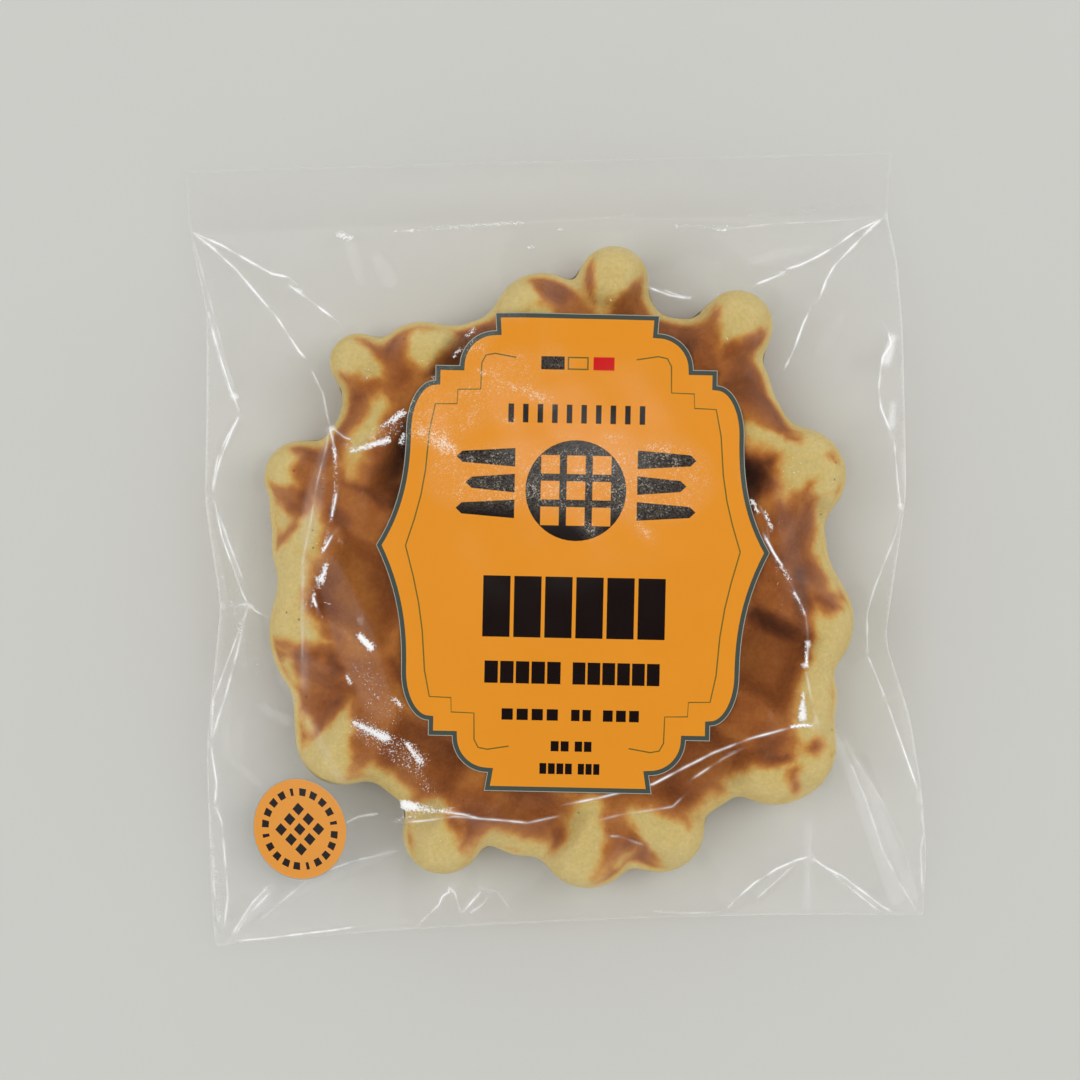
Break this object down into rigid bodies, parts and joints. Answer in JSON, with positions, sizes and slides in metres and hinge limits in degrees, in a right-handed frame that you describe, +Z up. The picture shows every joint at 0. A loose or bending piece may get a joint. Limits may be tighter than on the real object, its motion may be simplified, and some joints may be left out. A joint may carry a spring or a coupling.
{
  "type": "liege waffle in a clear pouch",
  "caption": "Round lobed waffle with a grid of ridges, sealed in a clear film pouch with a flat top fin, a shaped front label and a round badge.",
  "frame": {"origin": "middle of the pack's box, on the surface it lies on", "axes": "+X across the pouch, +Y towards its flat top fin, +Z up through the front label"},
  "size_m": [0.1227, 0.1334, 0.0208],
  "materials": {
    "clear_film": "gloss",
    "label_paper": "satin",
    "badge_paper": "satin",
    "baked_dough": "matte"
  },
  "bodies": {
    "root": {"pouch": "clear_film", "label": "label_paper", "badge": "badge_paper"}
  },
  "joints": []
}
